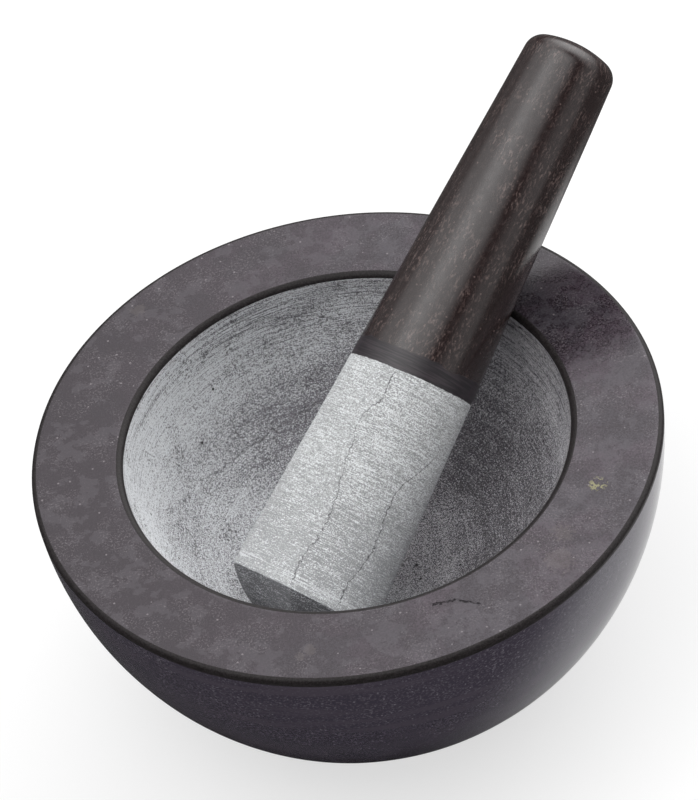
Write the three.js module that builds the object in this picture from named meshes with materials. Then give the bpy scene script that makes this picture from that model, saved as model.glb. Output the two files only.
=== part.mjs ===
// Stone mortar and pestle: a thick hemispherical mortar with a flat rim, and a tapered round pestle
// leaning in it, its side on the rim's inner edge and its domed end on the floor of the cavity.
// Millimetres, +Z up. The origin is the centre of the mortar's flat underside.
// Each of the two pieces is turned from one stone, so each is one surface of revolution.

import * as THREE from "three";

// ---- Mortar: driving dimensions --------------------------------------------------------------
const RIM_RADIUS = 75; // widest part, at the rim's outer edge
const MORTAR_HEIGHT = 68;
const RIM_EDGE_ROUND = 1.2; // round-over where the flat rim meets the outside
const BELLY_ARC_RADIUS = 87.3; // the outside in section
const BELLY_CENTRE_ABOVE_RIM = 2.4; // height of that arc's centre above the rim
const FOOT_EDGE_ROUND = 1.5;
const RIM_INNER_RADIUS = 54.7; // where the flat rim ends
const LIP_WIDTH = 1.6; // polished round-over between the rim and the ground cavity
const LIP_DROP = 1.1;
const CAVITY_DEPTH = 49.5; // below the rim

// ---- Pestle: driving dimensions --------------------------------------------------------------
const HEAD_EDGE_RADIUS = 18.3; // edge between the head's side and its domed end
const HEAD_LENGTH = 57.6; // ground length, from that edge to the polished handle
const HANDLE_FOOT_RADIUS = 15.5; // where the polished handle starts
const HANDLE_LENGTH = 89; // to the highest point of the crown
const END_DOME_RADIUS = 23.2; // sphere of the working end
const CROWN_RADIUS = 26; // sphere of the handle's top
const CROWN_EDGE_ROUND = 4.6;

// ---- How the pestle rests in the mortar ------------------------------------------------------
const LEAN = THREE.MathUtils.degToRad(60.2); // from upright
const LEAN_HEADING = THREE.MathUtils.degToRad(45.1); // from +Y towards +X
const SIDE_SHIFT = 1.9; // sideways distance of the pestle's axis from the mortar's axis
const REST_GAP = 0.35; // clearance left at each of the two resting contacts

// ---- Fineness of the curved surfaces ---------------------------------------------------------
const MORTAR_SEGMENTS = 64;
const PESTLE_SEGMENTS = 40;
const FINE_STEP = THREE.MathUtils.degToRad(6); // along large arcs
const ROUND_STEP = THREE.MathUtils.degToRad(23); // along small round-overs

// ---- Worked out from the dimensions above ----------------------------------------------------
// Sphere of the cavity, through the lip's lower edge and the floor's lowest point.
const CAVITY_MOUTH_RADIUS = RIM_INNER_RADIUS - LIP_WIDTH;
const MOUTH_ABOVE_FLOOR = CAVITY_DEPTH - LIP_DROP;
const CAVITY_SPHERE_RADIUS = (CAVITY_MOUTH_RADIUS ** 2 + MOUTH_ABOVE_FLOOR ** 2) / (2 * MOUTH_ABOVE_FLOOR);
const FLOOR_Z = MORTAR_HEIGHT - CAVITY_DEPTH;
const CAVITY_CENTRE_Z = FLOOR_Z + CAVITY_SPHERE_RADIUS;
// Arc of the lip: level where it leaves the rim, steep where the ground cavity begins.
const LIP_TURN = 2 * Math.atan2(LIP_DROP, LIP_WIDTH);
const LIP_ARC_RADIUS = LIP_WIDTH / Math.sin(LIP_TURN);
// Taper of the pestle, the same along the head and the handle.
const TAPER = (HEAD_EDGE_RADIUS - HANDLE_FOOT_RADIUS) / HEAD_LENGTH;
const TAPER_ANGLE = Math.atan(TAPER);
// Distance from the head's edge up to the centre of the end dome, along the pestle.
const DOME_CENTRE_ABOVE_EDGE = Math.sqrt(END_DOME_RADIUS ** 2 - HEAD_EDGE_RADIUS ** 2);

const stoneDark = new THREE.MeshStandardMaterial({ color: 0x3f3b42, roughness: 0.3, metalness: 0 });
const stoneBrown = new THREE.MeshStandardMaterial({ color: 0x47413d, roughness: 0.25, metalness: 0 });

// Points of a circular arc in section, both ends included; angles are measured from +x towards +y.
function arc(centreX, centreY, radius, fromAngle, toAngle, step) {
  const count = Math.max(1, Math.ceil(Math.abs(toAngle - fromAngle) / step));
  const points = [];
  for (let i = 0; i <= count; i += 1) {
    const angle = fromAngle + ((toAngle - fromAngle) * i) / count;
    const x = centreX + radius * Math.cos(angle);
    const y = centreY + radius * Math.sin(angle);
    points.push(new THREE.Vector2(x, y));
  }
  return points;
}

// Turns a section (x is the distance from the axis, y the height) about the Z axis.
function turned(section, segments) {
  const geometry = new THREE.LatheGeometry(section, segments);
  geometry.rotateX(Math.PI / 2);
  return geometry;
}

// Section of the mortar, from the centre of its underside, up the outside, over the rim and down
// the cavity to the centre of its floor.
function mortarSection() {
  // Belly arc: its centre lies beyond the axis, and it runs into the rim's round-over smoothly.
  const centreY = MORTAR_HEIGHT + BELLY_CENTRE_ABOVE_RIM;
  const edgeX = RIM_RADIUS - RIM_EDGE_ROUND;
  const edgeY = MORTAR_HEIGHT - RIM_EDGE_ROUND;
  const rise = centreY - edgeY;
  const reach = Math.sqrt((BELLY_ARC_RADIUS - RIM_EDGE_ROUND) ** 2 - rise ** 2);
  const centreX = edgeX - reach;
  const topAngle = -Math.atan2(rise, reach);

  // Foot: the belly arc stops at the round-over of the foot's edge, which is tangent to both.
  const footRise = centreY - FOOT_EDGE_ROUND;
  const footReach = Math.sqrt((BELLY_ARC_RADIUS - FOOT_EDGE_ROUND) ** 2 - footRise ** 2);
  const footEdgeX = centreX + footReach;
  const bottomAngle = -Math.atan2(footRise, footReach);

  const axisPoint = new THREE.Vector2(0, 0);
  const footEdge = arc(footEdgeX, FOOT_EDGE_ROUND, FOOT_EDGE_ROUND, -Math.PI / 2, bottomAngle, ROUND_STEP);
  const belly = arc(centreX, centreY, BELLY_ARC_RADIUS, bottomAngle, topAngle, FINE_STEP);
  const rimEdge = arc(edgeX, edgeY, RIM_EDGE_ROUND, topAngle, Math.PI / 2, ROUND_STEP);

  const lipCentreY = MORTAR_HEIGHT - LIP_ARC_RADIUS;
  const lipEnd = Math.PI / 2 + LIP_TURN;
  const lip = arc(RIM_INNER_RADIUS, lipCentreY, LIP_ARC_RADIUS, Math.PI / 2, lipEnd, ROUND_STEP);
  const mouthY = MORTAR_HEIGHT - LIP_DROP - CAVITY_CENTRE_Z;
  const mouthAngle = Math.atan2(mouthY, CAVITY_MOUTH_RADIUS);
  const floorAngle = -Math.PI / 2;
  const cavity = arc(0, CAVITY_CENTRE_Z, CAVITY_SPHERE_RADIUS, mouthAngle, floorAngle, FINE_STEP);
  cavity[cavity.length - 1].x = 0;
  return [axisPoint, ...footEdge, ...belly.slice(1), ...rimEdge.slice(1), ...lip, ...cavity.slice(1)];
}

// Section of the pestle along its own axis, from the tip of the end dome to the top of the crown.
// Height 0 is the head's edge.
function pestleSection() {
  const domeEdgeAngle = -Math.atan2(DOME_CENTRE_ABOVE_EDGE, HEAD_EDGE_RADIUS);
  const dome = arc(0, DOME_CENTRE_ABOVE_EDGE, END_DOME_RADIUS, -Math.PI / 2, domeEdgeAngle, 2 * FINE_STEP);
  dome[0].x = 0;
  const finishLine = new THREE.Vector2(HANDLE_FOOT_RADIUS, HEAD_LENGTH);

  // Corner round-over of the crown: tangent to the tapered side and to the crown's sphere.
  const crownCentreY = HEAD_LENGTH + HANDLE_LENGTH - CROWN_RADIUS;
  const inside = CROWN_RADIUS - CROWN_EDGE_ROUND;
  const sideToCentre = CROWN_EDGE_ROUND / Math.cos(TAPER_ANGLE);
  // Its centre is on a line parallel to the side and on a circle about the crown's centre.
  const lineAtCrownCentre = HEAD_EDGE_RADIUS - TAPER * crownCentreY - sideToCentre;
  const a = 1 + TAPER ** 2;
  const b = TAPER * lineAtCrownCentre;
  const c = lineAtCrownCentre ** 2 - inside ** 2;
  const cornerUp = (b + Math.sqrt(b ** 2 - a * c)) / a;
  const cornerX = lineAtCrownCentre - TAPER * cornerUp;
  const cornerY = crownCentreY + cornerUp;
  const crownAngle = Math.atan2(cornerUp, cornerX);
  const corner = arc(cornerX, cornerY, CROWN_EDGE_ROUND, TAPER_ANGLE, crownAngle, ROUND_STEP);
  const crown = arc(0, crownCentreY, CROWN_RADIUS, crownAngle, Math.PI / 2, 2 * FINE_STEP);
  crown[crown.length - 1].x = 0;
  return [...dome, finishLine, ...corner, ...crown.slice(1)];
}

// Place of the centre of the head's edge, in the upright plane that the pestle leans in: x is the
// distance from the mortar's axis towards the lean, y the height.
function restingPlace() {
  const along = new THREE.Vector2(Math.sin(LEAN), Math.cos(LEAN));
  const across = new THREE.Vector2(Math.cos(LEAN), -Math.sin(LEAN));
  // Normal and direction of the pestle's underside, which is steeper than its axis by the taper.
  const normal = across.clone().multiplyScalar(Math.cos(TAPER_ANGLE));
  normal.addScaledVector(along, Math.sin(TAPER_ANGLE));
  const underside = new THREE.Vector2(-normal.y, normal.x);

  // The underside passes over the lip's arc.
  const lipCentre = new THREE.Vector2(RIM_INNER_RADIUS, MORTAR_HEIGHT - LIP_ARC_RADIUS);
  const lipClearance = HEAD_EDGE_RADIUS * Math.cos(TAPER_ANGLE) + LIP_ARC_RADIUS + REST_GAP;
  const offset = lipCentre.dot(normal) - lipClearance;

  // The end dome's sphere sits inside the cavity's sphere.
  const centreDistance = CAVITY_SPHERE_RADIUS - END_DOME_RADIUS - REST_GAP;
  const reachSquared = centreDistance ** 2 - SIDE_SHIFT ** 2;
  const cavityCentre = new THREE.Vector2(0, CAVITY_CENTRE_Z);
  const start = normal.clone().multiplyScalar(offset);
  const fromCavity = start.clone().addScaledVector(along, DOME_CENTRE_ABOVE_EDGE).sub(cavityCentre);
  const b = fromCavity.dot(underside);
  const c = fromCavity.lengthSq() - reachSquared;
  const distance = -b - Math.sqrt(b ** 2 - c);
  return start.addScaledVector(underside, distance);
}

const mortar = new THREE.Mesh(turned(mortarSection(), MORTAR_SEGMENTS), stoneDark);
mortar.name = "mortar";

const pestle = new THREE.Mesh(turned(pestleSection(), PESTLE_SEGMENTS), stoneBrown);
pestle.name = "pestle";
const rest = restingPlace();
pestle.position.set(SIDE_SHIFT, rest.x, rest.y);
pestle.rotation.x = -LEAN;

// The lean plane, turned to its heading; the pestle leans towards this group's +Y.
const leaning = new THREE.Group();
leaning.rotation.z = -LEAN_HEADING;
leaning.add(pestle);

const group = new THREE.Group();
group.add(mortar, leaning);

export default group;
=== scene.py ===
"""Stone mortar and pestle: fine surfaces, stone finishes, floor, light and camera.

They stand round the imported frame, which has +Z up and its origin at the centre of the mortar's
underside. Meshes and places are in metres, and the stone finishes work in millimetres.
"""

import math

import bpy
import numpy as np
from mathutils import Matrix, Vector


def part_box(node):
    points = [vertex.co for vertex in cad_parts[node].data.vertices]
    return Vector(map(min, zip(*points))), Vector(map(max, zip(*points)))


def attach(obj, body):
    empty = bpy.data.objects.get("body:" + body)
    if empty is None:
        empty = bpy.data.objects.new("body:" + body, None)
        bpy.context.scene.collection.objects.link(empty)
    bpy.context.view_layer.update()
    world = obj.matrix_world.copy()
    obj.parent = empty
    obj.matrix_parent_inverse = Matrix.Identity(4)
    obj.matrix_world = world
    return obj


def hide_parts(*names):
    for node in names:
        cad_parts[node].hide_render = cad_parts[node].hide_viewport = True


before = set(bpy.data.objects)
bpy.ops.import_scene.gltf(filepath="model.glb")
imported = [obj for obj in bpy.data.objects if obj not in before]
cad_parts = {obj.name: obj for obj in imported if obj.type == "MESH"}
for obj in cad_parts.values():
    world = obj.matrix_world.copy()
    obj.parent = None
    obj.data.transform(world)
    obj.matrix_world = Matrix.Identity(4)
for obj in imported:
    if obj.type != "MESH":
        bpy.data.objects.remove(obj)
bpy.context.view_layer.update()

MM = 0.001

# ---- Sizes of the mortar, as in the CAD model ------------------------------------------------
RIM_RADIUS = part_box("mortar")[1].x
RIM_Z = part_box("mortar")[1].z
RIM_EDGE_ROUND = 1.2 * MM
BELLY_ARC_RADIUS = 87.3 * MM
BELLY_CENTRE_ABOVE_RIM = 2.4 * MM
FOOT_EDGE_ROUND = 1.5 * MM
RIM_INNER_RADIUS = 54.7 * MM
LIP_WIDTH = 1.6 * MM
LIP_DROP = 1.1 * MM
CAVITY_DEPTH = 49.5 * MM
CAVITY_MOUTH_RADIUS = RIM_INNER_RADIUS - LIP_WIDTH
MOUTH_ABOVE_FLOOR = CAVITY_DEPTH - LIP_DROP
CAVITY_RADIUS = (CAVITY_MOUTH_RADIUS**2 + MOUTH_ABOVE_FLOOR**2) / (2 * MOUTH_ABOVE_FLOOR)
CAVITY_CENTRE_Z = RIM_Z - CAVITY_DEPTH + CAVITY_RADIUS

# ---- Sizes of the pestle, as in the CAD model ------------------------------------------------
HEAD_EDGE_RADIUS = 18.3 * MM
HEAD_LENGTH = 57.6 * MM
HANDLE_FOOT_RADIUS = 15.5 * MM
HANDLE_LENGTH = 89 * MM
END_DOME_RADIUS = 23.2 * MM
CROWN_RADIUS = 26 * MM
CROWN_EDGE_ROUND = 4.6 * MM
LEAN = math.radians(60.2)
HEADING = math.radians(45.1)
HEAD_MEAN_RADIUS = (HEAD_EDGE_RADIUS + HANDLE_FOOT_RADIUS) / 2
TAPER = (HEAD_EDGE_RADIUS - HANDLE_FOOT_RADIUS) / HEAD_LENGTH

# ---- Finer than the CAD model ----------------------------------------------------------------
MORTAR_SIDES = 400
PESTLE_SIDES = 240
EASED_BELOW_RIM = 0.6 * MM
HEAD_EDGE_ROUND = 0.5 * MM
EDGE_MARKS_HEIGHT = 2.6 * MM
EDGE_MARKS_SPREAD = 1.6 * MM

# ---- Camera ----------------------------------------------------------------------------------
CAMERA_DISTANCE = 1.44
CAMERA_ELEVATION = math.radians(46.51)
CAMERA_ROLL = math.radians(-11.29)
CAMERA_LENS_MM = 275.8
AIM = Vector((2.54 * MM, 11.85 * MM, RIM_Z))

# ---- Light and floor -------------------------------------------------------------------------
PANELS = [
    # azimuth, elevation and reach in degrees, brightness
    (135, 32, 42, 2.0),
    (156, 38, 44, 1.6),
    (240, 58, 44, 1.6),
    (330, 70, 42, 2.1),
    (225, 8, 36, 0.3),
    (50, 5, 36, 0.7),
    (92, 28, 34, 1.2),
]
FLOOR_RADIUS = 2
FLOOR_SIDES = 96
FLOOR_COLOUR = (0.90, 0.90, 0.90)
FAR_FLOOR_REFLECTED = (0.04, 0.04, 0.04)
REFLECTED_PLACE = (0.088, 0.008, 0)
REFLECTED_REACH = 0.055
SHADOW_SOFTENED = 0.65
BACKDROP_COLOUR = (1, 1, 1, 1)

# ---- Marks in the stone, in millimetres and degrees round each piece's own axis ----------------
CAVITY_VEINS = [
    # start and end in degrees round the axis, places along the section, width
    (84, 112, (66.5, 69.5, 71.5, 73.5, 76.0), 0.25),
    (96, 150, (48.0, 46.0, 45.5, 46.5, 50.0), 0.30),
]
# The side of the cavity that is given painted light; the opposite side is given painted shade.
PAINTED_LIGHT_SIDE_DEGREES = 185
# Where each vein of the head lies round the pestle, at even steps up from the edge of the head.
MAIN_VEIN_DEGREES = (-71, -74, -71, -72, -76, -81, -84, -76, -78)
SIDE_VEIN_DEGREES = (-34, -34, -29, -27, -30, -29, -17, -3)
SIDE_VEIN_TOP_MM = 44
# Places on the rim: distance from the axis and degrees round it.
CRACK_PLACES = [(58.2, -78.3), (59.4, -73.2), (63.2, -69.5)]
INCLUSION_PLACE = (63.0, -28.8)
INCLUSION_REACH = 2.2
SMEARS = [
    # place on the rim, reach
    (65.5, -105.5, 1.4),
    (67.6, -107.2, 1.2),
    (66.6, -50.2, 3.5),
    (62.0, -44.0, 2.5),
    (70.0, 128.0, 1.8),
]
# The band between head and handle is a little askew.
BAND_MM = 4.7
BOUNDARY_TILT_MM = 0.8
BOUNDARY_TILT_DEGREES = 30

# ---- Colours of the stone, and of painted shade on it, linear; the tints of the gloss have an alpha too ---
PALE_GROUND = (0.76, 0.775, 0.795)
DARK_GROUND = (0.15, 0.142, 0.158)
# Painted shade: greyer, darker copies of the ground stone's colours for the cavity's shaded side.
PALE_GROUND_PAINTED_SHADE = (0.66, 0.645, 0.67)
DARK_GROUND_PAINTED_SHADE = (0.075, 0.068, 0.078)
DARK_VEIN = (0.08, 0.075, 0.08)
# Painted shade: near-black for the hollows of the small pits.
PIT_PAINTED_SHADE = (0.03, 0.028, 0.03)
PALE_HEAD = (0.78, 0.80, 0.81)
DARK_HEAD = (0.30, 0.305, 0.31)
# Painted shade: the dome's colours, darker than the head's, for the shade under the pestle's end.
PALE_DOME_PAINTED_SHADE = (0.34, 0.34, 0.355)
DARK_DOME_PAINTED_SHADE = (0.06, 0.06, 0.064)
DARK_BELLY = (0.037, 0.031, 0.044)
FLECK_BELLY = (0.22, 0.20, 0.23)
BAND_BELLY = (0.055, 0.046, 0.060)
COOL_GLOSS = (0.86, 0.87, 1.0, 1)
VIOLET_GLOSS = (0.97, 0.91, 0.96, 1)
# Painted shade: the rounded rim edges are coloured darker than the rim, for the dark they reflect.
DARK_EDGE_PAINTED_SHADE = (0.010, 0.008, 0.008)
PALE_EDGE_PAINTED_SHADE = (0.028, 0.024, 0.025)
DARK_RIM = (0.009, 0.005, 0.008)
PALE_RIM = (0.052, 0.037, 0.050)
COOL_RIM = (0.040, 0.036, 0.044)
BLOTCH = (0.062, 0.056, 0.064)
RIM_SPECK = (0.19, 0.17, 0.18)
INCLUSION = (0.20, 0.19, 0.09)
SMEAR = (0.13, 0.11, 0.10)
PEPPER = (0.14, 0.14, 0.145)
CRACK = (0.004, 0.003, 0.004)
DARK_HANDLE = (0.020, 0.012, 0.012)
FLECK_HANDLE = (0.175, 0.125, 0.115)
BAND_DARK = (0.010, 0.007, 0.010)
BAND_PALE = (0.035, 0.026, 0.032)


# ---- Noise in three dimensions, for shaping the meshes ---------------------------------------
class Noise:
    """Smooth noise from -1 to 1 on a lattice of random values; the same seed gives the same noise."""

    SIZE = 64

    def __init__(self, seed):
        self.lattice = np.random.default_rng(seed).uniform(-1, 1, (self.SIZE,) * 3)

    def at(self, points):
        cell = np.floor(points).astype(int)
        part = points - cell
        part = part * part * (3 - 2 * part)
        total = np.zeros(len(points))
        for corner in np.ndindex(2, 2, 2):
            weight = np.prod(np.where(corner, part, 1 - part), axis=1)
            index = (cell + corner) % self.SIZE
            total += weight * self.lattice[index[:, 0], index[:, 1], index[:, 2]]
        return total


# ---- Meshes turned about an axis -------------------------------------------------------------
# Finishes, in the order of the mortar's materials.
POLISHED, HONED, GROUND, EASED = range(4)


def arc(centre_x, centre_y, radius, start, end, count):
    """Points of a circular arc in section, both ends included; angles in radians from +x to +y."""
    angles = np.linspace(start, end, count)
    return [(centre_x + radius * math.cos(a), centre_y + radius * math.sin(a)) for a in angles]


class Section:
    """A section drawn stretch by stretch from the axis back to the axis, each stretch with its finish.

    x is the distance from the axis and y the height, and the solid lies to the left of the path.
    """

    def __init__(self, start):
        self.points = [start]
        self.finishes = []

    def add(self, points, finish):
        for point in points:
            if math.dist(point, self.points[-1]) > 1e-6:
                self.points.append(point)
                self.finishes.append(finish)

    def line_to(self, end, count, finish):
        start = np.array(self.points[-1])
        step = (np.array(end) - start) / count
        self.add([tuple(start + step * i) for i in range(1, count + 1)], finish)


def turned_mesh(name, section, segments, relief):
    """A closed mesh turned about Z from a section.

    relief(points, along, finish) gives how far each point stands proud of the plain shape, where
    along is its distance along the section and finish that of the surface it ends.
    """
    outline = np.array(section.points)
    along = np.concatenate([[0], np.cumsum(np.linalg.norm(np.diff(outline, axis=0), axis=1))])
    tangent = outline[2:] - outline[:-2]
    tangent /= np.linalg.norm(tangent, axis=1)[:, None]
    rings = outline[1:-1]
    angles = np.arange(segments) * 2 * math.pi / segments
    circle = np.column_stack([np.cos(angles), np.sin(angles)])

    def turn(profile):
        sides = profile[:, None, :1] * circle[None]
        heights = np.repeat(profile[:, 1], segments).reshape(len(profile), segments, 1)
        return np.concatenate([sides, heights], axis=2).reshape(-1, 3)

    points = turn(rings)
    normals = turn(np.column_stack([tangent[:, 1], -tangent[:, 0]]))
    finish_here = np.repeat(section.finishes[:-1], segments)
    points += normals * relief(points, np.repeat(along[1:-1], segments), finish_here)[:, None]
    poles = [(0, 0, section.points[0][1]), (0, 0, section.points[-1][1])]

    here = np.arange(segments)
    after = (here + 1) % segments
    ring = (np.arange(len(rings) - 1) * segments)[:, None]
    next_ring = ring + segments
    sides = np.stack([ring + here, ring + after, next_ring + after, next_ring + here], axis=2)
    first, last = len(points), len(points) + 1
    top = (len(rings) - 1) * segments
    faces = sides.reshape(-1, 4).tolist()
    faces += [(first, b, a) for a, b in zip(here.tolist(), after.tolist())]
    faces += [(top + a, top + b, last) for a, b in zip(here.tolist(), after.tolist())]
    finishes = np.repeat(section.finishes[1:-1], segments).tolist()
    finishes += [section.finishes[0]] * segments + [section.finishes[-1]] * segments

    mesh = bpy.data.meshes.new(name)
    mesh.from_pydata(points.tolist() + poles, [], faces)
    mesh.polygons.foreach_set("material_index", finishes)
    mesh.polygons.foreach_set("use_smooth", [True] * len(faces))
    mesh.update()
    piece = bpy.data.objects.new(name, mesh)
    bpy.context.scene.collection.objects.link(piece)
    return piece


# ---- Mortar ----------------------------------------------------------------------------------
def mortar_section():
    """From the centre of the underside, up the outside, over the rim and down to the cavity's floor."""
    centre_z = RIM_Z + BELLY_CENTRE_ABOVE_RIM
    edge_x = RIM_RADIUS - RIM_EDGE_ROUND
    edge_z = RIM_Z - RIM_EDGE_ROUND
    rise = centre_z - edge_z
    reach = math.sqrt((BELLY_ARC_RADIUS - RIM_EDGE_ROUND) ** 2 - rise**2)
    centre_x = edge_x - reach
    top_angle = -math.atan2(rise, reach)
    foot_rise = centre_z - FOOT_EDGE_ROUND
    foot_reach = math.sqrt((BELLY_ARC_RADIUS - FOOT_EDGE_ROUND) ** 2 - foot_rise**2)
    foot_x = centre_x + foot_reach
    foot_angle = -math.atan2(foot_rise, foot_reach)
    lip_turn = 2 * math.atan2(LIP_DROP, LIP_WIDTH)
    lip_radius = LIP_WIDTH / math.sin(lip_turn)
    lip_z = RIM_Z - lip_radius
    mouth_angle = math.atan2(RIM_Z - LIP_DROP - CAVITY_CENTRE_Z, CAVITY_MOUTH_RADIUS)
    up = math.pi / 2

    section = Section((0, 0))
    section.line_to((foot_x, 0), 6, HONED)
    section.add(arc(foot_x, FOOT_EDGE_ROUND, FOOT_EDGE_ROUND, -up, foot_angle, 6), POLISHED)
    eased_angle = top_angle - EASED_BELOW_RIM / BELLY_ARC_RADIUS
    section.add(arc(centre_x, centre_z, BELLY_ARC_RADIUS, foot_angle, eased_angle, 38), POLISHED)
    section.add(arc(edge_x, edge_z, RIM_EDGE_ROUND, top_angle, up, 9), EASED)
    section.line_to((RIM_INNER_RADIUS, RIM_Z), 24, HONED)
    section.add(arc(RIM_INNER_RADIUS, lip_z, lip_radius, up, up + lip_turn, 8), EASED)
    cavity = arc(0, CAVITY_CENTRE_Z, CAVITY_RADIUS, mouth_angle, -up, 150)
    section.add(cavity[:-1] + [(0, CAVITY_CENTRE_Z - CAVITY_RADIUS)], GROUND)
    return section


def mortar_relief(points, along, finish):
    """Tool marks round the cavity, grain left by grinding, and a faint unevenness everywhere."""
    uneven = Noise(1).at(points / (18 * MM)) * 0.05 * MM
    round_axis = points[:, :2] / np.linalg.norm(points[:, :2], axis=1)[:, None]
    marks = Noise(2).at(np.column_stack([round_axis * 2, along / (1.3 * MM)])) * 0.035 * MM
    grain = Noise(3).at(points / (1.5 * MM)) * 0.03 * MM
    return uneven + np.where(finish == GROUND, marks + grain, 0)


# ---- Pestle ----------------------------------------------------------------------------------
def tangent_centre(side_x, sphere_y, distance, direction):
    """Centre of a round-over between the tapered side and an end sphere.

    It lies on the line x = side_x - TAPER * y, at the given distance from the sphere's centre, and
    below it for direction -1 or above it for 1.
    """
    level_x = side_x - TAPER * sphere_y
    a = 1 + TAPER**2
    b = TAPER * level_x
    c = level_x**2 - distance**2
    up = (b + direction * math.sqrt(b**2 - a * c)) / a
    return level_x - TAPER * up, sphere_y + up


def pestle_section():
    """From the tip of the end dome to the top of the crown; height 0 is the edge of the head."""
    taper_angle = math.atan(TAPER)
    up = math.pi / 2
    dome_y = math.sqrt(END_DOME_RADIUS**2 - HEAD_EDGE_RADIUS**2)
    side_x = HEAD_EDGE_RADIUS - HEAD_EDGE_ROUND / math.cos(taper_angle)
    edge_x, edge_y = tangent_centre(side_x, dome_y, END_DOME_RADIUS - HEAD_EDGE_ROUND, -1)
    edge_angle = math.atan2(edge_y - dome_y, edge_x)
    crown_y = HEAD_LENGTH + HANDLE_LENGTH - CROWN_RADIUS
    side_x = HEAD_EDGE_RADIUS - CROWN_EDGE_ROUND / math.cos(taper_angle)
    corner_x, corner_y = tangent_centre(side_x, crown_y, CROWN_RADIUS - CROWN_EDGE_ROUND, 1)
    crown_angle = math.atan2(corner_y - crown_y, corner_x)
    shoulder = arc(corner_x, corner_y, CROWN_EDGE_ROUND, taper_angle, crown_angle, 14)

    section = Section((0, dome_y - END_DOME_RADIUS))
    section.add(arc(0, dome_y, END_DOME_RADIUS, -up, edge_angle, 44)[1:], GROUND)
    section.add(arc(edge_x, edge_y, HEAD_EDGE_ROUND, edge_angle, taper_angle, 6), GROUND)
    section.line_to((HANDLE_FOOT_RADIUS, HEAD_LENGTH), 120, GROUND)
    section.line_to(shoulder[0], 80, POLISHED)
    section.add(shoulder, POLISHED)
    crown = arc(0, crown_y, CROWN_RADIUS, crown_angle, up, 14)
    section.add(crown[:-1] + [(0, crown_y + CROWN_RADIUS)], POLISHED)
    return section


def pestle_relief(points, along, finish):
    """Tool marks round the head, deeper near its edge, and a faint unevenness everywhere."""
    uneven = Noise(4).at(points / (16 * MM)) * 0.06 * MM
    round_axis = points[:, :2] / np.linalg.norm(points[:, :2], axis=1)[:, None]
    near_edge = np.exp(-((points[:, 2] - EDGE_MARKS_HEIGHT) ** 2) / EDGE_MARKS_SPREAD**2)
    depth = (0.02 + 0.04 * near_edge) * MM
    marks = Noise(5).at(np.column_stack([round_axis, along / (1.1 * MM)])) * depth
    grain = Noise(6).at(points / (1.2 * MM)) * 0.02 * MM
    return uneven + np.where(finish == GROUND, marks + grain, 0)


def pestle_place():
    """Where the CAD model's pestle lies: its tip and the top of its crown are on its axis."""
    level_part = math.sin(LEAN)
    rough_axis = Vector((level_part * math.sin(HEADING), level_part * math.cos(HEADING), math.cos(LEAN)))
    vertices = [v.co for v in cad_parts["pestle"].data.vertices]
    tip = min(vertices, key=rough_axis.dot)
    top = max(vertices, key=rough_axis.dot)
    axis = (top - tip).normalized()
    dome_sag = END_DOME_RADIUS - math.sqrt(END_DOME_RADIUS**2 - HEAD_EDGE_RADIUS**2)
    edge_centre = tip + axis * dome_sag
    side = axis.cross(Vector((0, 0, 1))).normalized()
    axes = Matrix((side, axis.cross(side), axis)).transposed()
    return Matrix.Translation(edge_centre) @ axes.to_4x4()


# ---- Shader nodes ----------------------------------------------------------------------------
class Graph:
    """Short ways to lay down and join the nodes of a material or a world."""

    def __init__(self, owner):
        owner.use_nodes = True
        self.nodes = owner.node_tree.nodes
        self.links = owner.node_tree.links

    def feed(self, socket, value):
        if isinstance(value, bpy.types.NodeSocket):
            self.links.new(value, socket)
        else:
            socket.default_value = value

    def math(self, operation, *values):
        node = self.nodes.new("ShaderNodeMath")
        node.operation = operation
        for socket, value in zip(node.inputs, values):
            self.feed(socket, value)
        return node.outputs[0]

    def vector_math(self, operation, first, second):
        """An operation on two vectors that gives a number."""
        node = self.nodes.new("ShaderNodeVectorMath")
        node.operation = operation
        self.feed(node.inputs[0], first)
        self.feed(node.inputs[1], second)
        return node.outputs["Value"]

    def range(self, value, start, end, low=0.0, high=1.0):
        """low below start, high above end, and a smooth step between."""
        node = self.nodes.new("ShaderNodeMapRange")
        node.interpolation_type = "SMOOTHSTEP"
        for socket, given in zip(node.inputs, (value, start, end, low, high)):
            self.feed(socket, given)
        return node.outputs[0]

    def colour(self, factor, first, second):
        node = self.nodes.new("ShaderNodeMix")
        node.data_type = "RGBA"
        self.feed(node.inputs[0], factor)
        for socket, value in zip(node.inputs[6:8], (first, second)):
            self.feed(socket, value if isinstance(value, bpy.types.NodeSocket) else (*value, 1))
        return node.outputs[2]

    def either_shader(self, factor, first, second):
        node = self.nodes.new("ShaderNodeMixShader")
        for socket, value in zip(node.inputs, (factor, first, second)):
            self.feed(socket, value)
        return node.outputs[0]


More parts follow.
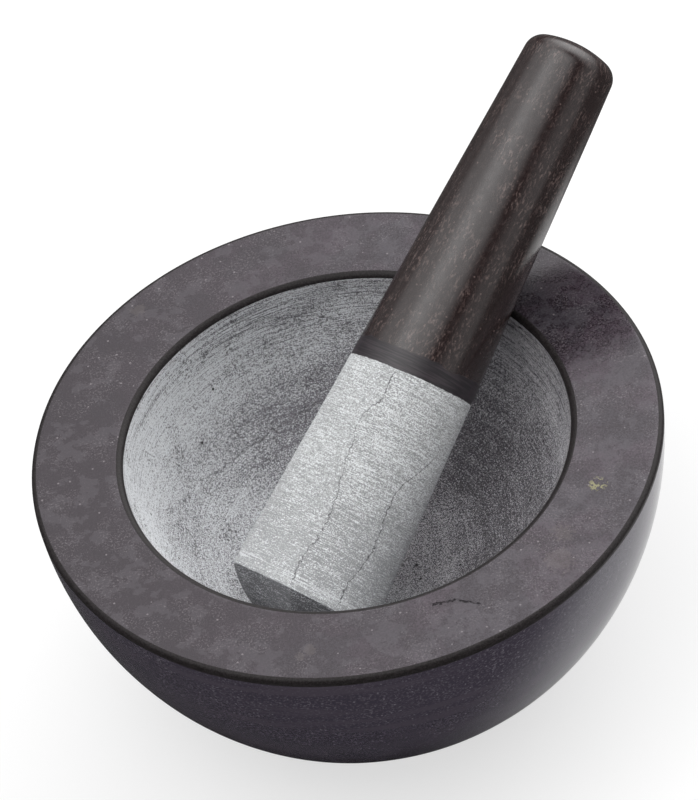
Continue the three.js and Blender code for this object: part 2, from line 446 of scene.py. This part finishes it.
class Stone(Graph):
    """A stone finish under construction: its material, and measures and patterns in the stone.

    place_mm is the point in the piece's own millimetres, measured from the given place. x, y and z
    are its parts, radius its distance from the Z axis and turn its angle round that axis.
    """

    def __init__(self, name, place, **uniform):
        self.material = bpy.data.materials.new(name)
        super().__init__(self.material)
        self.shader = self.nodes["Principled BSDF"]
        for socket_name, value in uniform.items():
            self.shader.inputs[socket_name.replace("_", " ")].default_value = value
        mapping = self.nodes.new("ShaderNodeMapping")
        mapping.vector_type = "TEXTURE"
        mapping.inputs["Location"].default_value = place.translation
        mapping.inputs["Rotation"].default_value = place.to_euler()
        mapping.inputs["Scale"].default_value = (MM, MM, MM)
        self.feed(mapping.inputs["Vector"], self.nodes.new("ShaderNodeTexCoord").outputs["Object"])
        self.place_mm = mapping.outputs["Vector"]
        split = self.nodes.new("ShaderNodeSeparateXYZ")
        self.feed(split.inputs[0], self.place_mm)
        self.x, self.y, self.z = split.outputs
        self.radius = self.root_of_squares(self.x, self.y)
        self.turn = self.math("ARCTAN2", self.y, self.x)

    def root_of_squares(self, a, b):
        return self.math("SQRT", self.math("MULTIPLY_ADD", a, a, self.math("MULTIPLY", b, b)))

    def difference(self, first, second):
        return self.math("SUBTRACT", first, second)

    def product(self, *values):
        total = values[0]
        for value in values[1:]:
            total = self.math("MULTIPLY", total, value)
        return total

    def sum(self, *parts):
        """Sum of values, each given with its weight."""
        total = 0.0
        for value, weight in parts:
            total = self.math("MULTIPLY_ADD", value, weight, total)
        return total

    def level(self, factor, first, second):
        """A number between first, at factor 0, and second, at factor 1."""
        node = self.nodes.new("ShaderNodeMix")
        for socket, value in zip(node.inputs[0:1] + node.inputs[2:4], (factor, first, second)):
            self.feed(socket, value)
        return node.outputs[0]

    def noise(self, where, per_mm, detail, roughness=0.55):
        """Noise around 0.5, with per_mm lumps to a millimetre."""
        node = self.nodes.new("ShaderNodeTexNoise")
        self.feed(node.inputs["Vector"], where)
        node.inputs["Scale"].default_value = per_mm
        node.inputs["Detail"].default_value = detail
        node.inputs["Roughness"].default_value = roughness
        return node.outputs[0]

    def cells(self, where, per_mm):
        """Distance to the nearest of many scattered points, and a random grey of that point."""
        node = self.nodes.new("ShaderNodeTexVoronoi")
        self.feed(node.inputs["Vector"], where)
        node.inputs["Scale"].default_value = per_mm
        split = self.nodes.new("ShaderNodeSeparateColor")
        self.feed(split.inputs[0], node.outputs["Color"])
        return node.outputs["Distance"], split.outputs[0]

    def turned(self, along, round_cells, along_cells_per_mm):
        """Coordinates that draw noise out round the axis, with round_cells cells to a radian."""
        node = self.nodes.new("ShaderNodeCombineXYZ")
        cosine = self.product(self.math("COSINE", self.turn), round_cells)
        sine = self.product(self.math("SINE", self.turn), round_cells)
        for socket, value in zip(node.inputs, (cosine, sine, self.product(along, along_cells_per_mm))):
            self.feed(socket, value)
        return node.outputs[0]

    def dots(self, where, per_mm, size, share):
        """Scattered specks: 1 on a speck, 0 off it; size is relative to a cell, share of the cells."""
        distance, pick = self.cells(where, per_mm)
        speck = self.range(distance, size * 0.6, size, 1.0, 0.0)
        return self.math("MULTIPLY", speck, self.math("LESS_THAN", pick, share))

    def surface(self, colour, roughness, height_mm):
        """Finishes the material with a colour, a roughness and fine relief, and gives it."""
        self.feed(self.shader.inputs["Base Color"], colour)
        self.feed(self.shader.inputs["Roughness"], roughness)
        bump = self.nodes.new("ShaderNodeBump")
        bump.inputs["Distance"].default_value = MM
        self.feed(bump.inputs["Height"], height_mm)
        self.feed(self.shader.inputs["Normal"], bump.outputs[0])
        return self.material


# ---- Stone finishes --------------------------------------------------------------------------
def ground_surface(stone, along, round_cells, pale, dark, line_share, tone_shift_with_painted_light):
    """Stone ground with grit while it turned: pale grain and scratches round the axis.

    along is the distance in millimetres across the scratches, round_cells how many of them there
    are round one radian, line_share how strong the long ones are, and the last argument shifts the
    whole towards pale, or towards dark below zero; the callers put painted light and painted shade
    into it, and the cavity's dust too. Gives the colour and the height.
    """
    grain = stone.noise(stone.place_mm, 3.4, 1.0, 0.8)
    scratches = stone.noise(stone.turned(along, round_cells, 4.0), 1.0, 2.0, 0.75)
    lines = stone.noise(stone.turned(along, 3.0, 3.8), 1.0, 2.0, 0.8)
    bands = stone.noise(stone.turned(along, 1.5, 0.3), 1.0, 2.0)
    clouds = stone.noise(stone.place_mm, 0.09, 3.0)
    tone = stone.sum(
        (grain, 0.46),
        (scratches, 0.30),
        (lines, line_share),
        (bands, 0.06),
        (clouds, 0.07),
    )
    centred = stone.sum((tone, 1.0), (line_share, -0.5), (tone_shift_with_painted_light, 1.0))
    colour = stone.colour(stone.range(centred, 0.37, 0.53), dark, pale)
    dots = stone.dots(stone.place_mm, 1.5, 0.38, 0.35)
    colour = stone.colour(stone.product(dots, 0.7), colour, dark)
    height = stone.sum((grain, 0.10), (scratches, 0.10), (lines, 0.08))
    return colour, height


def vein(stone, run, start, end, across, places, width, strength):
    """A thin jagged vein that follows run from start to end.

    places are where the vein lies on across, at even steps of run. Gives how far the point is past
    the vein on across, and how dark the vein is there.
    """
    low, high = min(places) - 1, max(places) + 1
    part = stone.math("DIVIDE", stone.difference(run, start), end - start)
    course = stone.nodes.new("ShaderNodeFloatCurve")
    stone.feed(course.inputs["Value"], part)
    points = course.mapping.curves[0].points
    while len(points) < len(places):
        points.new(0.5, 0.5)
    for i, place in enumerate(places):
        points[i].location = (i / (len(places) - 1), (place - low) / (high - low))
    course.mapping.update()
    middle = stone.math("MULTIPLY_ADD", course.outputs[0], high - low, low)
    long_bends = stone.difference(stone.noise(stone.place_mm, 0.35, 2.0), 0.5)
    short_bends = stone.difference(stone.noise(stone.place_mm, 1.3, 2.0), 0.5)
    offset = stone.sum((across, 1.0), (middle, -1.0), (long_bends, 2.2), (short_bends, 0.9))
    weight = stone.range(stone.noise(stone.place_mm, 0.8, 2.0), 0.36, 0.56, 0.35, strength)
    line = stone.range(stone.math("ABSOLUTE", offset), width * 0.3, width, 1.0, 0.0)
    within = stone.product(stone.range(part, 0.0, 0.04), stone.range(part, 0.96, 1.0, 1.0, 0.0))
    return offset, stone.product(line, weight, within)


def cavity_tone(stone, along):
    """Pale and dark colour of the ground cavity and its shift towards pale.

    Painted light makes the wall paler on one side, and painted shade makes it greyer and darker on
    the other side and darker part-way down than near the top; it is dusty and paler low down.
    """
    side = stone.math("COSINE", stone.difference(stone.turn, math.radians(PAINTED_LIGHT_SIDE_DEGREES)))
    # Painted shade: the wall is darker part-way down than near the top.
    painted_depth_shade = stone.range(along, 46.0, 68.0, -0.04, 0.02)
    dust = stone.range(along, 14.0, 40.0, 0.05, 0.0)
    # Painted light: the wall is paler on one side.
    painted_light_side = stone.range(side, -0.2, 1.0, -0.01, 0.055)
    tone_shift_with_painted_light = stone.sum((painted_depth_shade, 1.0), (dust, 1.0), (painted_light_side, 1.0))
    # Painted shade: the wall is greyer and darker on the opposite side.
    painted_shade_side = stone.range(side, -0.95, -0.1, 1.0, 0.0)
    pale = stone.colour(painted_shade_side, PALE_GROUND, PALE_GROUND_PAINTED_SHADE)
    dark = stone.colour(painted_shade_side, DARK_GROUND, DARK_GROUND_PAINTED_SHADE)
    return pale, dark, tone_shift_with_painted_light


def cavity_stone():
    """Ground inside of the mortar, with two long faint veins, dark patches, small pits painted
    dark as shade, and the painted light and shade of cavity_tone.
    """
    stone = Stone("cavity_ground", Matrix.Identity(4))
    below_centre = stone.difference(CAVITY_CENTRE_Z / MM, stone.z)
    along = stone.product(stone.math("ARCTAN2", stone.radius, below_centre), CAVITY_RADIUS / MM)
    mouth_lines = stone.range(along, 56.0, 80.0, 0.14, 0.75)
    pale, dark, tone_shift_with_painted_light = cavity_tone(stone, along)
    colour, height = ground_surface(stone, along, 60.0, pale, dark, mouth_lines, tone_shift_with_painted_light)
    degrees = stone.product(stone.turn, 180 / math.pi)
    for start, end, places, width in CAVITY_VEINS:
        _, darkness = vein(stone, degrees, start, end, along, places, width, 0.6)
        colour = stone.colour(darkness, colour, DARK_VEIN)
    patches = stone.range(stone.noise(stone.place_mm, 0.13, 4.0, 0.7), 0.53, 0.61)
    spots = stone.range(stone.noise(stone.place_mm, 1.6, 2.0, 0.6), 0.52, 0.6)
    colour = stone.colour(stone.product(patches, spots, 0.75), colour, DARK_VEIN)
    small_pits = stone.dots(stone.place_mm, 0.2, 0.09, 0.3)
    large_pits = stone.dots(stone.place_mm, 0.11, 0.07, 0.3)
    pits = stone.math("MAXIMUM", small_pits, large_pits)
    # Painted shade: the pits are coloured near-black.
    colour = stone.colour(pits, colour, PIT_PAINTED_SHADE)
    height = stone.sum((height, 1.0), (pits, -0.3))
    return stone.surface(colour, 0.85, height)


def polished_surface(stone, flecks_at, dark, fleck, sparse, dense, gloss):
    """Dark polished stone with pale mineral flecks, from sparse places to dense ones.

    gloss is the range of the roughness. Gives the colour and the roughness.
    """
    clusters = stone.range(stone.noise(stone.place_mm, 0.11, 3.0), 0.4, 0.66, sparse, dense)
    flecks = stone.range(stone.noise(flecks_at, 1.0, 3.0, 0.7), 0.48, 0.72)
    specks = stone.dots(stone.place_mm, 0.9, 0.28, 0.12)
    amount = stone.math("MAXIMUM", stone.product(flecks, clusters), stone.product(specks, 0.5))
    colour = stone.colour(amount, dark, fleck)
    roughness = stone.range(stone.noise(stone.place_mm, 0.5, 3.0), 0.3, 0.7, *gloss)
    return colour, roughness


def belly_stone():
    """Polished outside of the mortar, with faint level bands."""
    shine = {"Specular_IOR_Level": 0.34, "Specular_Tint": COOL_GLOSS}
    stone = Stone("belly_polished", Matrix.Identity(4), **shine)
    flecks_at = stone.turned(stone.z, 110.0, 2.2)
    gloss = (0.06, 0.13)
    colour, roughness = polished_surface(stone, flecks_at, DARK_BELLY, FLECK_BELLY, 0.32, 0.52, gloss)
    bands = stone.noise(stone.turned(stone.z, 1.6, 0.28), 1.0, 4.0, 0.6)
    colour = stone.colour(stone.range(bands, 0.46, 0.62, 0.0, 0.8), colour, BAND_BELLY)
    height = stone.product(stone.noise(stone.place_mm, 0.35, 2.0), 0.02)
    return stone.surface(colour, roughness, height)


def eased_stone():
    """The two rounded edges of the rim, duller than the rim itself, and painted darker as shade."""
    stone = Stone("edge_eased", Matrix.Identity(4), Specular_IOR_Level=0.15)
    grain = stone.noise(stone.place_mm, 2.4, 2.0, 0.75)
    # Painted shade: colours darker than the rim's, for the dark these edges reflect.
    colour = stone.colour(stone.range(grain, 0.38, 0.66), DARK_EDGE_PAINTED_SHADE, PALE_EDGE_PAINTED_SHADE)
    specks = stone.dots(stone.place_mm, 1.2, 0.3, 0.3)
    colour = stone.colour(stone.product(specks, 0.6), colour, CRACK)
    height = stone.product(grain, 0.03)
    return stone.surface(colour, stone.range(grain, 0.3, 0.7, 0.35, 0.5), height)


def rim_place(radius_mm, degrees):
    angle = math.radians(degrees)
    return radius_mm * math.cos(angle), radius_mm * math.sin(angle)


def patch(stone, centre, reach, ragged_per_mm):
    """An irregular patch round a place on the rim: 1 inside and 0 outside."""
    east = stone.difference(stone.x, centre[0])
    north = stone.difference(stone.y, centre[1])
    ragged = stone.difference(stone.noise(stone.place_mm, ragged_per_mm, 3.0, 0.7), 0.5)
    distance = stone.sum((stone.root_of_squares(east, north), 1.0), (ragged, reach * 3))
    return stone.range(distance, reach * 0.8, reach * 1.1, 1.0, 0.0)


def distance_to_line(stone, x, y, start, end):
    """Distance of the point (x, y) from the straight line between two places on the rim."""
    length = math.dist(start, end)
    along_x = (end[0] - start[0]) / length
    along_y = (end[1] - start[1]) / length
    from_x = stone.difference(x, start[0])
    from_y = stone.difference(y, start[1])
    run = stone.sum((from_x, along_x), (from_y, along_y))
    run = stone.math("MINIMUM", stone.math("MAXIMUM", run, 0.0), length)
    off_x = stone.difference(from_x, stone.product(run, along_x))
    off_y = stone.difference(from_y, stone.product(run, along_y))
    return stone.root_of_squares(off_x, off_y)


def crack(stone, places):
    """Darkness of a jagged hairline through places on the rim."""
    bend = stone.difference(stone.noise(stone.place_mm, 0.9, 3.0, 0.7), 0.5)
    x = stone.sum((bend, 3.0), (stone.x, 1.0))
    y = stone.sum((bend, -2.6), (stone.y, 1.0))
    distances = [distance_to_line(stone, x, y, a, b) for a, b in zip(places, places[1:])]
    nearest = distances[0]
    for distance in distances[1:]:
        nearest = stone.math("MINIMUM", nearest, distance)
    broken = stone.range(stone.noise(stone.place_mm, 1.1, 2.0), 0.4, 0.52, 0.3, 1.0)
    return stone.product(stone.range(nearest, 0.12, 0.36, 1.0, 0.0), broken)


def rim_stone():
    """Honed flat rim and foot: mottling, specks, smears, a yellow inclusion, a short crack, and painted
    shade that darkens the rim towards -x.
    """
    shine = {"Specular_IOR_Level": 0.5, "Specular_Tint": VIOLET_GLOSS}
    stone = Stone("rim_honed", Matrix.Identity(4), **shine)
    mottle = stone.noise(stone.place_mm, 0.10, 4.0, 0.6)
    hue = stone.noise(stone.place_mm, 0.07, 3.0, 0.6)
    grain = stone.noise(stone.place_mm, 2.2, 2.0, 0.75)
    tone = stone.sum((grain, 0.7), (mottle, 0.3))
    colour = stone.colour(stone.range(tone, 0.36, 0.66), DARK_RIM, PALE_RIM)
    cool = stone.colour(stone.range(tone, 0.36, 0.66), DARK_RIM, COOL_RIM)
    colour = stone.colour(stone.range(hue, 0.42, 0.58), cool, colour)
    # Painted shade: the rim darkens towards -x, standing in for less light on that side.
    colour = stone.colour(stone.range(stone.x, -75.0, 40.0, 0.9, 0.05), colour, DARK_RIM)
    blotches = stone.range(stone.noise(stone.place_mm, 0.2, 6.0, 0.62), 0.52, 0.56)
    colour = stone.colour(stone.product(blotches, 0.35), colour, BLOTCH)
    clusters = stone.range(stone.noise(stone.place_mm, 0.12, 3.0), 0.42, 0.6, 0.15, 1.0)
    flecks = stone.range(stone.noise(stone.place_mm, 2.0, 2.0, 0.75), 0.5, 0.68)
    colour = stone.colour(stone.product(flecks, clusters, 0.4), colour, RIM_SPECK)
    specks = stone.dots(stone.place_mm, 0.7, 0.22, 0.10)
    colour = stone.colour(stone.product(specks, 0.7), colour, RIM_SPECK)
    for radius_mm, degrees, reach in SMEARS:
        smear = patch(stone, rim_place(radius_mm, degrees), reach, 0.9)
        colour = stone.colour(stone.product(smear, 0.2), colour, SMEAR)
    broken = stone.range(stone.noise(stone.place_mm, 0.8, 2.0), 0.44, 0.5)
    inclusion = patch(stone, rim_place(*INCLUSION_PLACE), INCLUSION_REACH, 0.8)
    colour = stone.colour(stone.product(inclusion, broken), colour, INCLUSION)
    line = crack(stone, [rim_place(*place) for place in CRACK_PLACES])
    colour = stone.colour(line, colour, CRACK)
    roughness = stone.level(line, stone.range(grain, 0.3, 0.7, 0.10, 0.18), 0.9)
    height = stone.sum((grain, 0.02), (line, -0.25))
    return stone.surface(colour, roughness, height)


def round_head_mm(degrees):
    """Distance round the head, at its mean radius, for each of the given angles."""
    return [math.radians(angle) * HEAD_MEAN_RADIUS / MM for angle in degrees]


def head_surface(stone):
    """The ground head: two long veins, peppered whiter stone before the first, and painted shade
    that darkens the dome and the head towards its end.
    """
    round_mm = stone.product(stone.turn, HEAD_MEAN_RADIUS / MM)
    places = round_head_mm(MAIN_VEIN_DEGREES)
    past_main, main = vein(stone, stone.z, 0, HEAD_LENGTH / MM, round_mm, places, 0.17, 0.85)
    places = round_head_mm(SIDE_VEIN_DEGREES)
    _, side = vein(stone, stone.z, 0, SIDE_VEIN_TOP_MM, round_mm, places, 0.19, 0.9)
    before = stone.range(past_main, -0.5, 0.5, 1.0, 0.0)
    # Painted shade: the head darkens towards its end, which sits deep in the cavity.
    tone_shift_with_painted_light = stone.range(stone.z, 4.0, 40.0, -0.05, 0.0)
    # Painted shade: the dome takes darker copies of the head's colours.
    dome_painted_shade = stone.range(stone.z, -0.25, 0.0, 1.0, 0.0)
    pale = stone.colour(dome_painted_shade, PALE_HEAD, PALE_DOME_PAINTED_SHADE)
    dark = stone.colour(dome_painted_shade, DARK_HEAD, DARK_DOME_PAINTED_SHADE)
    colour, height = ground_surface(stone, stone.z, 18.0, pale, dark, 0.34, tone_shift_with_painted_light)

    near = stone.range(past_main, -11.0, -3.0)
    peppered = stone.range(stone.noise(stone.place_mm, 2.4, 2.0, 0.6), 0.53, 0.60)
    colour = stone.colour(stone.product(before, near, peppered, 0.5), colour, PEPPER)
    whiter = stone.product(stone.range(past_main, -14.0, -1.0), before, 0.14)
    colour = stone.colour(whiter, colour, pale)
    lines = stone.range(stone.noise(stone.turned(stone.z, 1.0, 2.2), 1.0, 1.0), 0.54, 0.6)
    from_marks = stone.math("ABSOLUTE", stone.difference(stone.z, EDGE_MARKS_HEIGHT / MM))
    near_edge = stone.range(from_marks, 0.6, 2.0, 1.0, 0.0)
    colour = stone.colour(stone.product(lines, 0.5, near_edge), colour, pale)
    colour = stone.colour(stone.math("MAXIMUM", main, side), colour, DARK_VEIN)
    height = stone.sum((height, 1.0), (main, -0.1), (side, -0.1))
    return colour, height


def band_colour(stone):
    """The dull dark band between head and handle, with fine tool marks."""
    lines = stone.noise(stone.turned(stone.z, 2.0, 3.0), 1.0, 2.0)
    return stone.colour(stone.range(lines, 0.4, 0.65), BAND_DARK, BAND_PALE)


def pestle_stone(place):
    """Ground head, a dull band of fine tool marks, then the polished handle."""
    stone = Stone("pestle_turned", place, Specular_IOR_Level=0.6)
    head, head_height = head_surface(stone)
    flecks_at = stone.turned(stone.z, 24.0, 0.7)
    gloss = (0.16, 0.28)
    colours = (DARK_HANDLE, FLECK_HANDLE)
    handle, handle_roughness = polished_surface(stone, flecks_at, *colours, 0.12, 0.8, gloss)

    tilt = stone.math("COSINE", stone.difference(stone.turn, math.radians(BOUNDARY_TILT_DEGREES)))
    level = stone.sum((stone.z, 1.0), (tilt, -BOUNDARY_TILT_MM))
    boundary = HEAD_LENGTH / MM
    ragged = stone.sum((level, 1.0), (stone.noise(stone.place_mm, 0.9, 3.0, 0.7), 0.8))
    on_handle = stone.range(ragged, boundary, boundary + 0.25)
    wavy = stone.sum((level, 1.0), (stone.noise(stone.place_mm, 0.15, 2.0), 3.0))
    past_band = stone.range(wavy, boundary + BAND_MM + 1.2, boundary + BAND_MM + 1.8)
    handle = stone.colour(past_band, band_colour(stone), handle)
    handle_roughness = stone.level(past_band, 0.45, handle_roughness)
    colour = stone.colour(on_handle, head, handle)
    roughness = stone.level(on_handle, 0.85, handle_roughness)
    height = stone.level(on_handle, head_height, 0.0)
    return stone.surface(colour, roughness, height)


# ---- Floor, light and camera -----------------------------------------------------------------
def floor():
    """A plain pale round table top under the mortar."""
    around = [i * 2 * math.pi / FLOOR_SIDES for i in range(FLOOR_SIDES)]
    edge = [(FLOOR_RADIUS * math.cos(a), FLOOR_RADIUS * math.sin(a), 0) for a in around]
    mesh = bpy.data.meshes.new("floor")
    mesh.from_pydata(edge, [], [range(FLOOR_SIDES)])
    sheet = bpy.data.objects.new("floor", mesh)
    bpy.context.scene.collection.objects.link(sheet)
    mesh.materials.append(floor_material())


def floor_colour(graph, glossy_ray):
    """Pale, but seen in gloss it is dark away from the place beside the mortar."""
    place = graph.nodes.new("ShaderNodeTexCoord").outputs["Object"]
    away = graph.vector_math("DISTANCE", place, REFLECTED_PLACE)
    beyond = graph.range(away, REFLECTED_REACH, REFLECTED_REACH * 2)
    return graph.colour(graph.math("MULTIPLY", glossy_ray, beyond), FLOOR_COLOUR, FAR_FLOOR_REFLECTED)


def floor_material():
    """Pale and matt, with its shadows softened for the camera."""
    material = bpy.data.materials.new("floor")
    graph = Graph(material)
    ray = graph.nodes.new("ShaderNodeLightPath").outputs
    shader = graph.nodes["Principled BSDF"]
    shader.inputs["Roughness"].default_value = 0.9
    graph.feed(shader.inputs["Base Color"], floor_colour(graph, ray["Is Glossy Ray"]))
    glow = graph.nodes.new("ShaderNodeEmission")
    glow.inputs["Color"].default_value = BACKDROP_COLOUR
    softened = graph.math("MULTIPLY", ray["Is Camera Ray"], SHADOW_SOFTENED)
    mixed = graph.either_shader(softened, shader.outputs[0], glow.outputs[0])
    graph.feed(graph.nodes["Material Output"].inputs["Surface"], mixed)
    return material


def studio(panels):
    """Light from soft panels all round: the world is bright towards each and fades out from it.

    Azimuth 0 is behind the camera and 90 to its right, and reach is how far the light fades out.
    The camera itself sees a plain pale backdrop.
    """
    world = bpy.data.worlds.new("studio")
    graph = Graph(world)
    direction = graph.nodes.new("ShaderNodeTexCoord").outputs["Generated"]
    total = 0.0
    for azimuth, elevation, reach, brightness in panels:
        around, up = math.radians(azimuth), math.radians(elevation)
        level = math.cos(up)
        towards = (math.sin(around) * level, -math.cos(around) * level, math.sin(up))
        closeness = graph.vector_math("DOT_PRODUCT", direction, towards)
        light = graph.range(closeness, math.cos(math.radians(reach)), 1.0, 0.0, brightness)
        total = graph.math("ADD", light, total)
    background = graph.nodes["Background"]
    background.inputs["Color"].default_value = (1, 1, 1, 1)
    graph.feed(background.inputs["Strength"], total)
    backdrop = graph.nodes.new("ShaderNodeBackground")
    backdrop.inputs["Color"].default_value = BACKDROP_COLOUR
    camera_ray = graph.nodes.new("ShaderNodeLightPath").outputs["Is Camera Ray"]
    seen = graph.either_shader(camera_ray, background.outputs[0], backdrop.outputs[0])
    graph.feed(graph.nodes["World Output"].inputs["Surface"], seen)
    bpy.context.scene.world = world


def camera_and_view():
    """The camera looks down into the cavity from the front, turned a little about its own axis."""
    back = Vector((0, -math.cos(CAMERA_ELEVATION), math.sin(CAMERA_ELEVATION)))
    place = Vector((0, 0, RIM_Z)) + CAMERA_DISTANCE * back
    forward = (AIM - place).normalized()
    right = forward.cross(Vector((0, 0, 1))).normalized()
    up = right.cross(forward)
    rolled_right = right * math.cos(CAMERA_ROLL) + up * math.sin(CAMERA_ROLL)
    rolled_up = up * math.cos(CAMERA_ROLL) - right * math.sin(CAMERA_ROLL)
    data = bpy.data.cameras.new("camera")
    data.sensor_width = 36
    data.lens = CAMERA_LENS_MM
    data.clip_start = 0.05
    data.clip_end = 50
    camera = bpy.data.objects.new("camera", data)
    axes = Matrix((rolled_right, rolled_up, -forward)).transposed()
    camera.matrix_world = Matrix.Translation(place) @ axes.to_4x4()
    bpy.context.scene.collection.objects.link(camera)
    bpy.context.scene.camera = camera
    bpy.context.scene.view_settings.view_transform = "Standard"


def mortar():
    """Its four finishes are in the order of POLISHED, HONED, GROUND and EASED."""
    piece = turned_mesh("mortar_stone_body", mortar_section(), MORTAR_SIDES, mortar_relief)
    for finish in (belly_stone(), rim_stone(), cavity_stone(), eased_stone()):
        piece.data.materials.append(finish)
    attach(piece, "mortar")
    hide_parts("mortar")


def pestle():
    """One finish all over: its material tells the head from the handle by itself."""
    place = pestle_place()
    piece = turned_mesh("pestle_stone_body", pestle_section(), PESTLE_SIDES, pestle_relief)
    piece.data.transform(place)
    piece.data.polygons.foreach_set("material_index", [0] * len(piece.data.polygons))
    piece.data.materials.append(pestle_stone(place))
    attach(piece, "pestle")
    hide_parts("pestle")


camera_and_view()
floor()
studio(PANELS)
mortar()
pestle()
